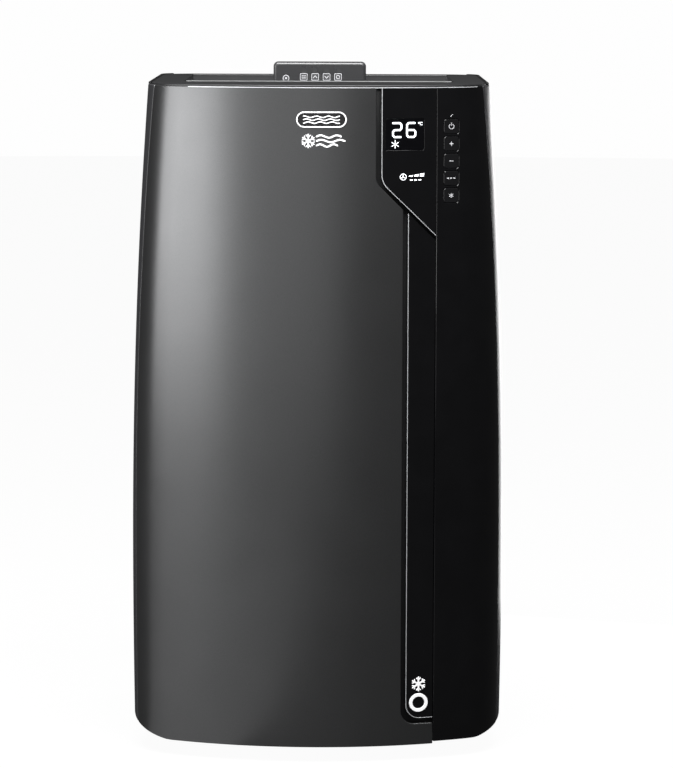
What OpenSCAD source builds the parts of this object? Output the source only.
// Portable air conditioner: a tall, gently bulged cabinet on four casters, with a
// metallic front, a gloss black display side, an outlet flap in the top and a docked remote.
// +Z up, front towards -Y, origin on the floor under the middle of the cabinet. Millimetres.

/* [Cabinet] */
// Greatest width of the cabinet
body_w = 409; // [400:1:415]
// Height of the top cover's rim above the floor
top_z = 735; // [733:1:738]
// Height of the skirt's lower edge above the floor, at the front
skirt_z = 17; // [16:1:18]
// Rise of the skirt's lower edge from the front to the sides
side_rise = 21; // [18:1:22]
// Narrowing of each side at the top
top_taper = 18; // [14:1:20]
// Narrowing of each side at the skirt
foot_taper = 1.8; // [0.5:0.1:3]
// How far the front leans back at the top
top_lean = 15; // [10:1:16]
// Radius of the bowed front
bow_r = 380; // [376:1:384]
// Radius of the front corners
corner_r = 70; // [68:1:72]
// Radius of the rear corners
rear_r = 40; // [36:1:44]
// Wall of every outer shell
wall = 3; // [2.6:0.1:3.2]

/* [Front] */
// Seam between the display side and the control side
seam_x = 127.5; // [127:0.1:128]
// Left edge of the display panel
display_x = 68; // [67:0.5:69]
// Left edge of the accent strip
strip_x = 97.3; // [97:0.1:98]
// Gap round the display panel and the strip
groove = 5.5; // [5:0.1:6]

/* [Controls] */
// Width of a control button
button_w = 17.5; // [16:0.5:18]
// Height of a control button
button_h = 15.4; // [14:0.2:15.6]
// Height between the buttons' centres
button_pitch = 18.5; // [18.3:0.1:18.8]

/* [Outlet and remote] */
// Width of the outlet flap
flap_w = 293; // [290:1:294]
// Width of the remote control
remote_w = 107; // [104:1:108]
// Height of the remote control as it stands in its dock
remote_h = 46; // [44:1:47]
// Thickness of the remote control
remote_t = 14; // [13:0.5:14]

/* [Casters] */
// Radius of a caster wheel
wheel_r = 20; // [19:0.5:20.5]
// Distance from the swivel axis back to the axle
caster_trail = 12; // [10:1:13]

/* [Hidden] */

front_y = -215;
rear_y = 200;
panel_top_z = top_z - 2;
bulge_z = 220;
lean_z = 300;
side_seam_y = -140;
rear_seam_y = 150;
seam_gap = 0.4;

// ---- Outer surface of the cabinet ----

function half_w(z) = body_w / 2 - (z > bulge_z
    ? top_taper * pow((z - bulge_z) / (panel_top_z - bulge_z), 2)
    : foot_taper * pow((bulge_z - z) / (bulge_z - skirt_z), 2));
function lean(z) = z > lean_z ? top_lean * pow((z - lean_z) / (panel_top_z - lean_z), 2) : 0;

function corner_x(z) = half_w(z) - corner_r;
function corner_y(z) = front_y + lean(z) + bow_r
    - sqrt(pow(bow_r - corner_r, 2) - pow(corner_x(z), 2));
function join_angle(z) = asin(corner_x(z) / (bow_r - corner_r));

// A point of the front at an angle from straight ahead, d under the surface
function front_pt(a, z, d) = abs(a) <= join_angle(z)
    ? [(bow_r - d) * sin(a), front_y + lean(z) + bow_r - (bow_r - d) * cos(a)]
    : [sign(a) * corner_x(z) + (corner_r - d) * sin(a), corner_y(z) - (corner_r - d) * cos(a)];
function angle_at_x(x, z, d) = let (s = sign(x), m = abs(x))
    m <= (bow_r - d) * sin(join_angle(z)) ? s * asin(m / (bow_r - d))
    : s * asin((m - corner_x(z)) / (corner_r - d));
function angle_at_y(y, z, d) = acos((corner_y(z) - y) / (corner_r - d));
function front_y_at(x, z) = front_pt(angle_at_x(x, z, 0), z, 0)[1];

// Right side: k runs 0 to 1 round the corner and 1 to 2 along the flat
function side_pt(k, z, d) = k <= 1
    ? front_pt(angle_at_y(side_seam_y + seam_gap, z, d) * (1 - k) + 90 * k, z, d)
    : [half_w(z) - d, corner_y(z) * (2 - k) + rear_seam_y * (k - 1)];

// Rear: k runs 0 to 5 from the right seam, round both corners, to the left seam
function rear_pt(k, z, d) = let (cx = half_w(z) - rear_r, cy = rear_y - rear_r)
    k <= 1 ? [half_w(z) - d, (rear_seam_y + seam_gap) * (1 - k) + cy * k]
    : k <= 2 ? [cx, cy] + (rear_r - d) * [cos(90 * (k - 1)), sin(90 * (k - 1))]
    : k < 3 ? [cx * (5 - 2 * k), rear_y - d]
    : let (p = rear_pt(5 - k, z, d)) [-p[0], p[1]];

function outline(z, d) = concat([for (a = [-90:5:90]) front_pt(a, z, d)],
    [for (k = [1:0.25:2]) rear_pt(k, z, d)], [for (k = [3:0.25:4]) rear_pt(k, z, d)]);

// ---- Shell builder ----

// A bent sheet: at each height, steps points along pt(k, z, depth) from k = 0 to 1,
// from depth d0 in to depth d1
module sheet(heights, steps, d0, d1, pt) {
    row = steps + 1;
    ring = 2 * row;
    last = len(heights) - 1;
    points = [for (z = heights, d = [d0, d1], i = [0:steps])
        let (p = pt(i / steps, z, d)) [p[0], p[1], z]];
    outer = [for (j = [0:last - 1], i = [0:steps - 1]) let (o = j * ring + i)
        [o, o + ring, o + ring + 1, o + 1]];
    inner = [for (j = [0:last - 1], i = [0:steps - 1]) let (o = j * ring + row + i)
        [o, o + 1, o + ring + 1, o + ring]];
    ends = [for (j = [0:last - 1]) let (o = j * ring, e = j * ring + steps)
        each [[o + row, o + row + ring, o + ring, o], [e, e + ring, e + row + ring, e + row]]];
    rims = [for (i = [0:steps - 1]) let (t = last * ring + i)
        each [[i, i + 1, i + row + 1, i + row], [t, t + row, t + row + 1, t + 1]]];
    polyhedron(points, concat(outer, inner, ends, rims));
}

function mix(a, b, k) = a + (b - a) * k;
function spaced(z0, z1, n) = [for (i = [0:n]) mix(z0, z1, i / n)];

// Space under the skirt: its lower edge slopes up to the sides and down again to the rear
skirt_front_y = -178;
raised_front_y = -115;
raised_rear_y = 85;
skirt_rear_y = 148;
module under_skirt()
    rotate([90, 0, 90]) linear_extrude(2 * body_w, center = true)
        polygon([[skirt_front_y - 3, skirt_z - 1], [skirt_front_y, skirt_z],
            [raised_front_y, skirt_z + side_rise], [raised_rear_y, skirt_z + side_rise],
            [skirt_rear_y, skirt_z], [skirt_rear_y + 1, skirt_z - 1]]);

// ---- Front pieces ----

diagonal_sum = 699;
strip_foot_z = 46;
strip_round = 15;
panel_step_z = strip_foot_z - groove;

// Right edge of the metallic panel: beside the display, down the diagonal, along the strip
panel_x_high = display_x - groove;
panel_x_low = strip_x - groove;
panel_diagonal = diagonal_sum - groove;
function panel_edge(z) = z <= panel_step_z ? seam_x - seam_gap
    : z < panel_step_z + strip_round
        ? panel_x_low + strip_round - sqrt(pow(strip_round, 2) - pow(panel_step_z + strip_round - z, 2))
    : min(max(panel_diagonal - z, panel_x_high), panel_x_low);

function front_panel_pt(k, z, d) = front_pt(
    mix(-angle_at_y(side_seam_y, z, d), angle_at_x(panel_edge(z), z, d), k), z, d);

module front_panel() color([0.22, 0.225, 0.23]) difference() {
    sheet(concat([skirt_z, 30, panel_step_z, panel_step_z + 0.3, panel_step_z + 3, panel_step_z + 8],
        spaced(panel_step_z + strip_round, panel_diagonal - panel_x_low, 8),
        spaced(panel_diagonal - panel_x_high, panel_top_z, 3)),
        26, 0, wall, function (k, z, d) front_panel_pt(k, z, d));
    under_skirt();
}

carrier_depth = wall + 3.2;
module panel_carrier() color([0.03, 0.03, 0.032])
    difference() {
        sheet(spaced(skirt_z + 11, panel_top_z - 2, 10), 8, carrier_depth, carrier_depth + 2,
            function (k, z, d) front_pt(
                mix(angle_at_x(display_x - 28, z, d), angle_at_x(seam_x + 6, z, d), k), z, d));
        on_front(window_x + 3, window_z, window_angle) cube([44, 60, 34], center = true);
        at_button(2) cube([28, 60, 5 * button_pitch + 6], center = true);
    }

display_round = 9;
function display_edge(z) = let (c = diagonal_sum - display_x)
    z > c + display_round ? display_x
    : z > c - display_round
        ? display_x + pow(c + display_round - z, 2) / (4 * display_round)
    : diagonal_sum - z;
display_foot_z = diagonal_sum - seam_x + 2.5;

module display_panel() color([0.012, 0.012, 0.014])
    difference() {
        sheet(concat(spaced(display_foot_z, diagonal_sum - display_x - display_round, 4),
            spaced(diagonal_sum - display_x - display_round + 3, diagonal_sum - display_x + display_round, 5),
            spaced(660, panel_top_z, 3)), 8, -0.3, wall - 0.3,
            function (k, z, d) front_pt(mix(angle_at_x(display_edge(z), z, d),
                angle_at_x(seam_x - seam_gap / 2, z, d), k), z, d));
        display_cutout(0);
    }

// The display window faces the viewer along the front's normal at its middle
window_x = 93;
window_z = 682.5;
window_w = 42;
window_h = 34;
window_angle = 14.2;
module on_front(x, z, angle, depth = 0)
    translate([x, front_y_at(x, z), z]) rotate([0, 0, angle]) translate([0, depth, 0]) children();

module display_cutout(play)
    on_front(window_x, window_z, window_angle)
        cube([window_w - play, 20, window_h - play], center = true);

module display_lens() color([0.02, 0.02, 0.025])
    on_front(window_x, window_z, window_angle, 1)
        cube([window_w - 0.4, 1.6, window_h - 0.4], center = true);

board_depth = 8.8;
module display_board() color([0.05, 0.28, 0.12])
    on_front(window_x, window_z, window_angle, board_depth) {
        translate([-18, 0, -14]) cube([42, 1.6, 28]);
        translate([-10, 1.6, -6]) cube([20, 2, 12]);
    }

// Seven-segment digits: light guides from the board to just behind the lens
digit_w = 11;
digit_h = 17;
bar_t = 2.2;
guide_depth = 2;
guide_l = board_depth - guide_depth;
module bar(x, z, w, h) translate([x, 0, z]) cube([w, guide_l, h]);
module digit(segments) {
    half = digit_h / 2;
    long = half - bar_t / 2;
    places = [[0, digit_h - bar_t, digit_w, bar_t], [digit_w - bar_t, half, bar_t, long],
        [digit_w - bar_t, bar_t / 2, bar_t, long], [0, 0, digit_w, bar_t],
        [0, bar_t / 2, bar_t, long], [0, half, bar_t, long],
        [0, half - bar_t / 2, digit_w, bar_t]];
    union() for (s = segments) bar(places[s][0], places[s][1], places[s][2], places[s][3]);
}
module display_digits() color([0.9, 0.95, 1])
    on_front(window_x, window_z, window_angle, guide_depth) {
        translate([-15, 0, -4.5]) digit([0, 1, 6, 4, 3]);
        translate([1, 0, -4.5]) digit([0, 2, 3, 4, 5, 6]);
        for (a = [0:60:120]) translate([-10.5, guide_l / 2, -10.5]) rotate([0, a, 0])
            cube([8, guide_l, 0.9], center = true);
        translate([15, 0, 8]) difference() {
            cube([4.4, guide_l, 4.4]);
            translate([1.2, -1, 1.2]) cube([4, guide_l + 2, 2]);
        }
    }

function strip_left(z) = z < strip_foot_z + strip_round
    ? strip_x + strip_round - sqrt(max(0, pow(strip_round, 2) - pow(strip_foot_z + strip_round - z, 2)))
    : strip_x;
function strip_right(z) = min(seam_x - seam_gap / 2, diagonal_sum - 3 - z);
strip_depth = 1.4;
module accent_strip() color([0.012, 0.012, 0.014])
    sheet(concat(spaced(strip_foot_z, strip_foot_z + strip_round, 5),
        spaced(strip_foot_z + 60, diagonal_sum - seam_x - 3, 7), [583, 597]), 4,
        strip_depth, strip_depth + wall, function (k, z, d) front_pt(
            mix(angle_at_x(strip_left(z), z, d), angle_at_x(strip_right(z), z, d), k), z, d));

emblem_x = 111.5;
emblem_z = 63.5;
emblem_angle = 17;
emblem_r = 10.2;
emblem_t = 1;
module emblem_ring() color([0.82, 0.83, 0.85])
    on_front(emblem_x, emblem_z, emblem_angle, strip_depth + 0.2) {
        rotate([90, 0, 0]) linear_extrude(emblem_t) difference() {
            circle(r = emblem_r, $fn = 64);
            circle(r = emblem_r - 2.8, $fn = 64);
        }
        for (a = [30:60:150]) translate([0, -emblem_t / 2, 2 * emblem_r]) rotate([0, a, 0])
            cube([14.4, emblem_t, 1.9], center = true);
    }

// A thin pill-shaped plate that follows the bow of the front
nameplate_w = 54;
nameplate_h = 17;
nameplate_x = 3.5;
nameplate_z = 698.5;
function nameplate_half(z) = let (r = nameplate_h / 2)
    nameplate_w / 2 - r + sqrt(max(0.01, r * r - pow(z - nameplate_z, 2)));
module nameplate() color([0.75, 0.76, 0.78])
    sheet([for (a = [-90:18:90]) nameplate_z + nameplate_h / 2 * sin(a)], 10, -0.8, 0.15,
        function (k, z, d) front_pt(angle_at_x(
            nameplate_x + mix(-nameplate_half(z), nameplate_half(z), k), z, d), z, d));

// ---- Control side ----

button_x = 143.5;
button_angle = 22.8;
mode_z = 653.5;
control_foot_z = skirt_z + 2.5;
function button_place(i) = mode_z + (2 - i) * button_pitch;
module at_button(i) on_front(button_x, button_place(i), button_angle) children();

module control_fascia() color([0.012, 0.012, 0.014])
    difference() {
        sheet(concat([control_foot_z, 40], spaced(80, panel_top_z, 11)), 16,
            -0.3, wall - 0.3, function (k, z, d) front_pt(
                mix(angle_at_x(seam_x + seam_gap / 2, z, d), angle_at_y(side_seam_y, z, d), k), z, d));
        for (i = [0:4]) at_button(i)
            cube([button_w + 1, 30, button_h + 1], center = true);
        under_skirt();
    }

// A keycap with a flange behind the fascia
module button(i) color([0.02, 0.02, 0.022]) at_button(i) union() {
    translate([-button_w / 2, -0.3, -button_h / 2]) cube([button_w, 7.3, button_h]);
    translate([-4, 6, -4]) cube([8, 4, 8]);
}

// ---- Sides and rear ----

handle_y = 10;
handle_z = 585;
handle_w = 116;
handle_h = 40;
module side_panel() color([0.06, 0.06, 0.065])
    difference() {
        sheet(concat([skirt_z, 40], spaced(80, panel_top_z, 10)), 14, 0, wall,
            function (k, z, d) side_pt(k < 0.6 ? k / 0.6 : 1 + (k - 0.6) / 0.4, z, d));
        translate([half_w(handle_z), handle_y, handle_z])
            cube([40, handle_w, handle_h], center = true);
        under_skirt();
    }
module side_panel_right() side_panel();
module side_panel_left() mirror([1, 0, 0]) side_panel();

cup_depth = 34;
cup_wall = 2;
module handle_cup() color([0.04, 0.04, 0.042])
    translate([half_w(handle_z + handle_h / 2 + 4) - wall - 0.6, handle_y, handle_z])
        difference() {
            translate([-cup_depth, -handle_w / 2 - cup_wall, -handle_h / 2 - cup_wall])
                cube([cup_depth, handle_w + 2 * cup_wall, handle_h + 2 * cup_wall]);
            translate([-cup_depth + cup_wall, -handle_w / 2, -handle_h / 2])
                cube([cup_depth, handle_w, handle_h]);
        }
module handle_cup_right() handle_cup();
module handle_cup_left() mirror([1, 0, 0]) handle_cup();

filter_w = 290;
filter_t = 14;
upper_filter_z = 450;
upper_filter_h = 230;
lower_filter_z = 66;
lower_filter_h = 180;
exhaust_x = 86;
exhaust_z = 345;
exhaust_r = 70;
gland_x = -128;
gland_z = 300;
drain_z = 40;

rear_ks = [0, 1, 1.25, 1.5, 1.75, 2, 3, 3.25, 3.5, 3.75, 4, 5];
module rear_casing() color([0.06, 0.06, 0.065])
    difference() {
        sheet(concat([skirt_z, 40], spaced(80, panel_top_z, 9)), len(rear_ks) - 1, 0, wall,
            function (k, z, d) rear_pt(rear_ks[round(k * (len(rear_ks) - 1))], z, d));
        for (f = [[upper_filter_z, upper_filter_h], [lower_filter_z, lower_filter_h]])
            translate([-filter_w / 2 - 0.5, rear_y - 20, f[0] - 0.5])
                cube([filter_w + 1, 40, f[1] + 1]);
        translate([exhaust_x, rear_y, exhaust_z]) rotate([90, 0, 0])
            cylinder(r = exhaust_r + 4.2, h = 40, center = true, $fn = 96);
        translate([gland_x, rear_y, gland_z]) rotate([90, 0, 0])
            cylinder(r = 9.2, h = 40, center = true, $fn = 48);
        translate([0, rear_y, drain_z]) rotate([90, 0, 0])
            cylinder(r = 9.2, h = 60, center = true, $fn = 48);
    }

// A framed intake cassette: slats outside, filter mesh bars behind them
slat_pitch = 11.5;
module filter_cassette(z0, h) color([0.05, 0.05, 0.052]) {
    slats = floor((h - 16) / slat_pitch);
    union() {
        translate([-filter_w / 2, rear_y - filter_t, z0]) difference() {
            cube([filter_w, filter_t, h]);
            translate([8, -1, 8]) cube([filter_w - 16, filter_t + 2, h - 16]);
        }
        for (i = [1:slats]) translate([-filter_w / 2 + 7, rear_y - 6, z0 + 8 + (i - 0.5) * slat_pitch])
            cube([filter_w - 14, 5, 3]);
        for (x = [-filter_w / 4, 0, filter_w / 4]) translate([x - 1.5, rear_y - 11, z0 + 7])
            cube([3, 5.5, h - 14]);
        translate([-filter_w / 2 + 7, rear_y - 13, z0 + 7]) cube([filter_w - 14, 0.8, h - 14]);
    }
}
module filter_upper() filter_cassette(upper_filter_z, upper_filter_h);
module filter_lower() filter_cassette(lower_filter_z, lower_filter_h);

// Exhaust outlet with a lip outside and a bayonet ring inside
module exhaust_collar() color([0.1, 0.1, 0.105])
    translate([exhaust_x, rear_y + 15, exhaust_z]) rotate([90, 0, 0]) difference() {
        union() {
            cylinder(r = exhaust_r + 3.8, h = 34, $fn = 96);
            translate([0, 0, 15.2 + wall]) cylinder(r = exhaust_r + 7, h = 3, $fn = 96);
        }
        translate([0, 0, -1]) cylinder(r = exhaust_r, h = 40, $fn = 96);
    }

gland_bore_r = 4.2;
module cable_gland() color([0.02, 0.02, 0.02])
    translate([gland_x, rear_y + 12, gland_z]) rotate([90, 0, 0]) difference() {
        union() {
            cylinder(r1 = 6.5, r2 = 8.8, h = 16, $fn = 48);
            translate([0, 0, 15.4]) cylinder(r = 12, h = 3, $fn = 48);
        }
        translate([0, 0, -1]) cylinder(r = gland_bore_r, h = 30, $fn = 48);
    }

// Two L-shaped hooks for the wound-up mains cable
cleat_x = -128;
module cord_cleats() color([0.05, 0.05, 0.052])
    for (s = [-1, 1]) translate([cleat_x, rear_y, 355 + s * 22]) union() {
        translate([-9, 0, -4]) cube([18, 12, 8]);
        translate([-9, 9, -4 + (s > 0 ? 0 : -10)]) cube([18, 5, 18]);
    }

// Drain spout under the pan, with a short pipe up to it
drain_r = 6;
drain_l = 30;
module drain_port() color([0.05, 0.05, 0.052]) difference() {
    union() {
        translate([0, rear_y + 8, drain_z]) rotate([90, 0, 0]) {
            cylinder(r = 8, h = drain_l, $fn = 48);
            translate([0, 0, 11.4]) cylinder(r = 13, h = 3, $fn = 48);
        }
        translate([0, rear_y + 16 - drain_l, drain_z]) cylinder(r = 5.5, h = base_z - drain_z, $fn = 48);
    }
    translate([0, rear_y + 9, drain_z]) rotate([90, 0, 0]) cylinder(r = drain_r, h = drain_l - 3, $fn = 48);
}
// A plug with a pull tab, pushed into the drain
module drain_cap() color([0.02, 0.02, 0.02])
    translate([0, rear_y + 8, drain_z]) rotate([90, 0, 0]) union() {
        translate([0, 0, -3]) cylinder(r = 8.5, h = 2.7, $fn = 48);
        translate([0, 0, -0.4]) cylinder(r = drain_r - 0.05, h = 12, $fn = 48);
        translate([-2, -8, -6]) cube([4, 16, 3.2]);
    }

screw_x = 140;
module casing_screws() color([0.3, 0.3, 0.31])
    for (s = [-1, 1], z = [270, 420, 705]) translate([s * screw_x, rear_y + 1.2, z])
        rotate([90, 0, 0]) difference() {
            union() {
                cylinder(r = 3.6, h = 1.2, $fn = 32);
                cylinder(r = 1.8, h = 12, $fn = 24);
            }
            for (a = [0, 90]) rotate([0, 0, a]) cube([4, 0.9, 1.4], center = true);
        }

// ---- Top ----

well_x = 149;
well_front_y = -80;
well_rear_y = 168;
hinge_y = 50;
hinge_z = 727;
hinge_r = 4;
pin_r = 2.5;
deck_front_y = hinge_y + hinge_r + 1.8;
deck_z = 727;
cover_t = 3;

// Low rails on both side edges, over the tops of the side panels
rail_h = 2.4;
rail_w = 4.2;
rail_gap = 0.3;
rail_front_y = front_y + 103;
rail_rear_y = rear_y - 12;
module side_rails()
    translate([0, 0, panel_top_z + rail_gap]) linear_extrude(rail_h) difference() {
        polygon(outline(panel_top_z, rail_gap));
        polygon(outline(panel_top_z, rail_gap + rail_w));
        translate([-body_w / 2, front_y]) square([body_w, rail_front_y - front_y]);
        translate([-body_w / 2, rail_rear_y]) square([body_w, 2 * (rear_y - rail_rear_y)]);
    }

module top_cover() color([0.1, 0.1, 0.105])
    difference() {
        union() {
            side_rails();
            translate([0, 0, top_z - cover_t]) linear_extrude(cover_t) difference() {
                polygon(outline(panel_top_z, wall + 0.5));
                translate([-well_x, well_front_y]) square([2 * well_x, well_rear_y - well_front_y]);
            }
            for (s = [-1, 1]) translate([s * (well_x + 1.5) - 1.5, well_front_y, top_z - 18])
                cube([3, well_rear_y - well_front_y, 18]);
            for (y = [well_front_y - 3, well_rear_y]) translate([-well_x - 3, y, top_z - 18])
                cube([2 * well_x + 6, 3, 18]);
        }
        translate([0, hinge_y, hinge_z]) rotate([0, 90, 0])
            cylinder(r = pin_r + 0.06, h = 2 * well_x + 20, center = true, $fn = 32);
    }

// Fixed floor behind the flap, with the pocket that the remote stands in
dock_y = 120;
dock_z = 705;
dock_play = 0.8;
dock_wall = 2;
dock_w = remote_w + 2 * dock_play;
dock_t = remote_t + 2 * dock_play;
module rear_deck() color([0.11, 0.11, 0.115])
    difference() {
        union() {
            translate([-well_x + 0.3, deck_front_y, deck_z - 3])
                cube([2 * well_x - 0.6, well_rear_y - deck_front_y - 0.3, 3]);
            translate([-dock_w / 2 - dock_wall, dock_y - dock_t / 2 - dock_wall, dock_z - 3])
                cube([dock_w + 2 * dock_wall, dock_t + 2 * dock_wall, deck_z + 1 - dock_z + 3]);
        }
        translate([-dock_w / 2, dock_y - dock_t / 2, dock_z]) cube([dock_w, dock_t, 40]);
    }

// The flap lies in the well, hinged at its rear edge, with a raised front lip
flap_t = 3.5;
flap_lip = 1.2;
module outlet_flap() color([0.12, 0.12, 0.125]) union() {
    translate([-flap_w / 2, well_front_y + 2.2, hinge_z + hinge_r - flap_t])
        cube([flap_w, hinge_y - well_front_y - 2.2, flap_t]);
    translate([-flap_w / 2, well_front_y + 2.2, hinge_z + hinge_r - flap_t])
        cube([flap_w, 4, top_z + flap_lip - (hinge_z + hinge_r - flap_t)]);
    translate([0, hinge_y, hinge_z]) rotate([0, 90, 0]) {
        cylinder(r = hinge_r, h = flap_w, center = true, $fn = 48);
        cylinder(r = pin_r, h = 2 * well_x + 5, center = true, $fn = 32);
    }
}
module flap_motor() color([0.7, 0.7, 0.68])
    translate([well_x + 4, hinge_y, hinge_z - 6]) rotate([0, 90, 0])
        cylinder(r = 5, h = 16, $fn = 32);

// Duct from the fan scroll forward and up to the flap, with guard bars in its mouth
duct_x = 138;
duct_front_y = -72;
duct_rear_y = 44;
duct_wall = 2;
duct_foot_z = 655;
scroll_rear_y = 146;
guard_z = 700;
module duct_boxes(inset) {
    for (b = [[duct_rear_y, 719], [scroll_rear_y, 690]])
        translate([-duct_x + inset, duct_front_y + inset, duct_foot_z + inset])
            cube([2 * (duct_x - inset), b[0] - duct_front_y - 2 * inset, b[1] - duct_foot_z - 2 * inset]);
}
module outlet_duct() color([0.16, 0.16, 0.165]) union() {
    difference() {
        duct_boxes(0);
        duct_boxes(duct_wall);
        translate([-duct_x + duct_wall, duct_front_y + duct_wall, guard_z])
            cube([2 * (duct_x - duct_wall), duct_rear_y - duct_front_y - 2 * duct_wall, 40]);
        translate([-99, 51, duct_foot_z - 5]) cube([198, 92, 20]);
    }
    for (i = [0:9]) translate([-duct_x + 16 + i * 26.5, duct_front_y + 1, guard_z])
        cube([2, duct_rear_y - duct_front_y - 2, 10]);
    translate([-duct_x + 1, (duct_front_y + duct_rear_y) / 2 - 1, guard_z]) cube([2 * duct_x - 2, 2, 10]);
}

// ---- Remote control ----

remote_top = dock_z + 0.6 + remote_h;
key_z = 734;
key_w = 9;
key_h = 8.6;
key_x0 = -18.5;
key_pitch = 13.2;
power_key_x = -39;
power_key_z = 732.5;
power_key_r = 4;
key_depth = 3.2;
face_y = dock_y - remote_t / 2;
remote_round = 5;

module remote_control() color([0.13, 0.13, 0.135])
    difference() {
        translate([0, dock_y + remote_t / 2, remote_top - remote_h / 2]) rotate([90, 0, 0])
            linear_extrude(remote_t) hull()
                for (x = [-1, 1], z = [-1, 1])
                    translate([x * (remote_w / 2 - remote_round), z * (remote_h / 2 - remote_round)])
                        circle(r = remote_round, $fn = 32);
        for (i = [0:3]) translate([key_x0 + i * key_pitch, face_y, key_z])
            cube([key_w + 0.7, 2 * key_depth + 1.6, key_h + 0.7], center = true);
        translate([power_key_x, face_y, power_key_z]) rotate([90, 0, 0])
            cylinder(r = power_key_r + 0.35, h = 2 * key_depth + 1.6, center = true, $fn = 40);
    }
module remote_key(i) color([0.2, 0.2, 0.205])
    translate([key_x0 + i * key_pitch - key_w / 2, face_y - 0.2, key_z - key_h / 2])
        cube([key_w, key_depth, key_h]);
module remote_key_power() color([0.2, 0.2, 0.205])
    translate([power_key_x, face_y - 0.2 + key_depth, power_key_z]) rotate([90, 0, 0])
        cylinder(r = power_key_r, h = key_depth, $fn = 40);

// ---- Base and casters ----

caster_x = 140;
caster_front_y = -104;
caster_rear_y = 148;
stem_r = 5.5;
base_z = 50;
function caster_place(i) = [i % 2 == 0 ? -caster_x : caster_x, i < 2 ? caster_front_y : caster_rear_y];

module base_pan() color([0.09, 0.09, 0.09])
    difference() {
        union() {
            for (y = [-90, 108]) translate([-half_w(base_z) + wall + 0.6, y, base_z])
                cube([2 * (half_w(base_z) - wall - 0.6), 30, 14]);
            translate([0, 0, base_z]) linear_extrude(3) polygon(outline(base_z, 9.5));
            translate([0, 0, base_z]) linear_extrude(14) difference() {
                polygon(outline(base_z, 9.5));
                polygon(outline(base_z, 12));
            }
            for (i = [0:3]) translate([caster_place(i)[0], caster_place(i)[1], base_z - 2])
                cylinder(r = 11, h = 22, $fn = 48);
        }
        for (i = [0:3]) translate([caster_place(i)[0], caster_place(i)[1], base_z - 10])
            cylinder(r = stem_r + 0.06, h = 32, $fn = 48);
    }

axle_r = 2.5;
wheel_w = 16;
module caster_fork(i) color([0.08, 0.08, 0.082]) translate([caster_place(i)[0], caster_place(i)[1], 0])
    union() {
        translate([0, 0, base_z - 6.5]) cylinder(r = 14, h = 4, $fn = 48);
        translate([0, 0, base_z - 5]) cylinder(r = stem_r, h = 22, $fn = 48);
        for (s = [-1, 1]) translate([s * (wheel_w / 2 + 2) - 1.25, -7, wheel_r - 5])
            cube([2.5, caster_trail + 12, base_z - wheel_r + 1]);
        translate([0, caster_trail, wheel_r]) rotate([0, 90, 0])
            cylinder(r = axle_r, h = wheel_w + 6, center = true, $fn = 32);
    }
module caster_wheel(i) color([0.15, 0.15, 0.15])
    translate([caster_place(i)[0], caster_place(i)[1] + caster_trail, wheel_r]) rotate([0, 90, 0])
        difference() {
            cylinder(r = wheel_r, h = wheel_w, center = true, $fn = 64);
            cylinder(r = axle_r + 0.06, h = wheel_w + 2, center = true, $fn = 32);
            for (s = [-1, 1]) translate([0, 0, s * wheel_w / 2]) difference() {
                cylinder(r = wheel_r - 4, h = 4, center = true, $fn = 48);
                cylinder(r = 5, h = 5, center = true, $fn = 32);
            }
        }

// ---- Inner machinery ----

module mid_deck() color([0.75, 0.75, 0.72])
    difference() {
        translate([0, 0, 428]) linear_extrude(4) polygon(outline(430, 9.5));
        translate([-60, 80, 420]) cylinder(r = 9, h = 20, $fn = 32);
    }

compressor_x = -60;
compressor_y = 30;
module compressor() color([0.05, 0.05, 0.05])
    translate([compressor_x, compressor_y, base_z + 3]) union() {
        for (a = [0:120:240]) rotate([0, 0, a]) translate([62, 0, 0]) cylinder(r = 12, h = 12, $fn = 32);
        translate([0, 0, 10]) cylinder(r = 64, h = 4, $fn = 48);
        translate([0, 0, 14]) cylinder(r = 55, h = 175, $fn = 64);
        translate([0, 0, 189]) cylinder(r1 = 55, r2 = 30, h = 18, $fn = 64);
        translate([0, 0, 205]) cylinder(r = 10, h = 20, $fn = 32);
    }

// Finned block with the bends of its tubes standing out at both ends
coil_w = 270;
coil_t = 24;
coil_y = 154;
module coil(z, h) union() {
    translate([-coil_w / 2, coil_y, z]) cube([coil_w, coil_t, h]);
    for (i = [1:floor(h / 25)], s = [-1, 1])
        translate([s * coil_w / 2, coil_y + coil_t / 2, z + 25 * i - 12]) sphere(r = 6, $fn = 24);
}
module condenser_coil() color([0.72, 0.73, 0.74]) coil(72, 165);
module evaporator_coil() color([0.72, 0.73, 0.74]) coil(455, 220);

// Fan wheel on a shaft along Y: hub disc, ring and blades
module fan_wheel(r, depth) rotate([-90, 0, 0]) difference() {
    union() {
        cylinder(r = r, h = 3, $fn = 64);
        cylinder(r = 14, h = depth * 0.7, $fn = 32);
        translate([0, 0, depth - 3]) difference() {
            cylinder(r = r, h = 3, $fn = 64);
            translate([0, 0, -1]) cylinder(r = r - 12, h = 5, $fn = 64);
        }
        for (a = [0:20:340]) rotate([0, 0, a]) translate([r - 11, -1, 1]) cube([10, 2, depth - 3]);
    }
    translate([0, 0, -1]) cylinder(r = 4.06, h = 200, $fn = 32);
}
module fan_motor(r, h, shaft) rotate([-90, 0, 0]) union() {
    cylinder(r = r, h = h, $fn = 48);
    translate([0, 0, h - 1]) cylinder(r = 4, h = shaft + 1, $fn = 32);
}

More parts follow.
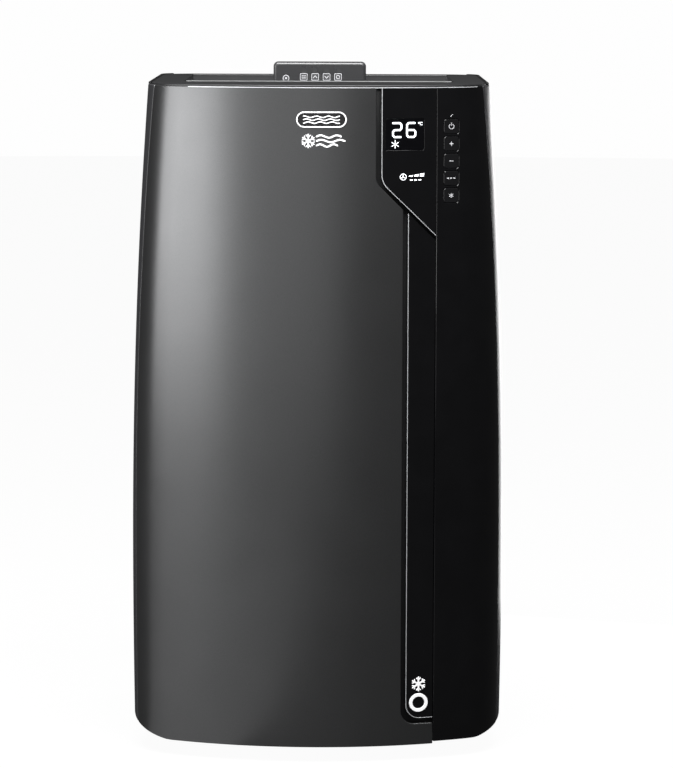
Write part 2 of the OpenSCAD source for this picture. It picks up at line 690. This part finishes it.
condenser_fan_y = 70;
module condenser_fan() color([0.85, 0.85, 0.82])
    translate([exhaust_x, condenser_fan_y, exhaust_z]) fan_wheel(66, 56);
module condenser_fan_motor() color([0.6, 0.6, 0.62])
    translate([exhaust_x, 2, exhaust_z]) fan_motor(36, 58, 50);
module exhaust_housing() color([0.2, 0.2, 0.2])
    translate([exhaust_x, 62, exhaust_z]) rotate([-90, 0, 0]) difference() {
        cylinder(r = 73.5, h = 117, $fn = 96);
        translate([0, 0, -1]) cylinder(r = 71, h = 140, $fn = 96);
    }

evaporator_fan_z = 560;
evaporator_fan_y = 56;
module evaporator_fan() color([0.85, 0.85, 0.82])
    translate([0, evaporator_fan_y, evaporator_fan_z]) fan_wheel(82, 76);
module evaporator_fan_motor() color([0.6, 0.6, 0.62])
    translate([0, -46, evaporator_fan_z]) fan_motor(40, 90, 66);
// Scroll round the fan, open towards the coil and up into the duct
module evaporator_housing() color([0.2, 0.2, 0.2])
    difference() {
        union() {
            translate([0, 48, evaporator_fan_z]) rotate([-90, 0, 0]) cylinder(r = 102, h = 98, $fn = 96);
            translate([-102, 48, evaporator_fan_z]) cube([204, 98, duct_foot_z - evaporator_fan_z]);
        }
        translate([-110, 40, duct_foot_z]) cube([220, 120, 20]);
        translate([0, 51, evaporator_fan_z]) rotate([-90, 0, 0]) cylinder(r = 99, h = 120, $fn = 96);
        translate([-99, 51, evaporator_fan_z]) cube([198, 92, 120]);
        translate([0, 0, evaporator_fan_z]) rotate([-90, 0, 0]) cylinder(r = 10, h = 80, $fn = 32);
    }

// Copper lines: straight runs joined by ball bends
pipe_points = [[compressor_x, compressor_y, 278], [compressor_x, compressor_y, 300], [-60, 80, 300],
    [-60, 80, 446], [-120, 80, 446], [-120, 166, 446], [-120, 166, 455]];
module pipe_run(a, b) {
    v = b - a;
    length = norm(v);
    translate(a) rotate([0, acos(v[2] / length), atan2(v[1], v[0])]) cylinder(r = 4, h = length, $fn = 24);
}
module refrigerant_pipes() color([0.72, 0.42, 0.27]) union() {
    for (i = [0:len(pipe_points) - 2]) pipe_run(pipe_points[i], pipe_points[i + 1]);
    for (i = [1:len(pipe_points) - 2]) translate(pipe_points[i]) sphere(r = 4.4, $fn = 24);
}

module power_box() color([0.8, 0.8, 0.78]) union() {
    translate([70, -120, 440]) cube([90, 60, 110]);
    translate([115, -90, 550]) cylinder(r = 22, h = 60, $fn = 48);
}

base_pan();
front_panel();
panel_carrier();
display_panel();
accent_strip();
control_fascia();
side_panel_left();
side_panel_right();
rear_casing();
top_cover();
rear_deck();
outlet_flap();
flap_motor();
outlet_duct();
remote_control();
remote_key_power();
remote_key(0);  // remote_key_1
remote_key(1);  // remote_key_2
remote_key(2);  // remote_key_3
remote_key(3);  // remote_key_4
nameplate();
emblem_ring();
display_lens();
display_digits();
display_board();
button(0);  // button_power
button(1);  // button_plus
button(2);  // button_minus
button(3);  // button_mode
button(4);  // button_swing
handle_cup_left();
handle_cup_right();
filter_upper();
filter_lower();
exhaust_collar();
cable_gland();
cord_cleats();
drain_port();
drain_cap();
mid_deck();
compressor();
condenser_coil();
evaporator_coil();
condenser_fan();
condenser_fan_motor();
exhaust_housing();
evaporator_fan();
evaporator_fan_motor();
evaporator_housing();
refrigerant_pipes();
power_box();
casing_screws();
caster_fork(0);  // caster_fork_front_left
caster_fork(1);  // caster_fork_front_right
caster_fork(2);  // caster_fork_rear_left
caster_fork(3);  // caster_fork_rear_right
caster_wheel(0);  // caster_wheel_front_left
caster_wheel(1);  // caster_wheel_front_right
caster_wheel(2);  // caster_wheel_rear_left
caster_wheel(3);  // caster_wheel_rear_right
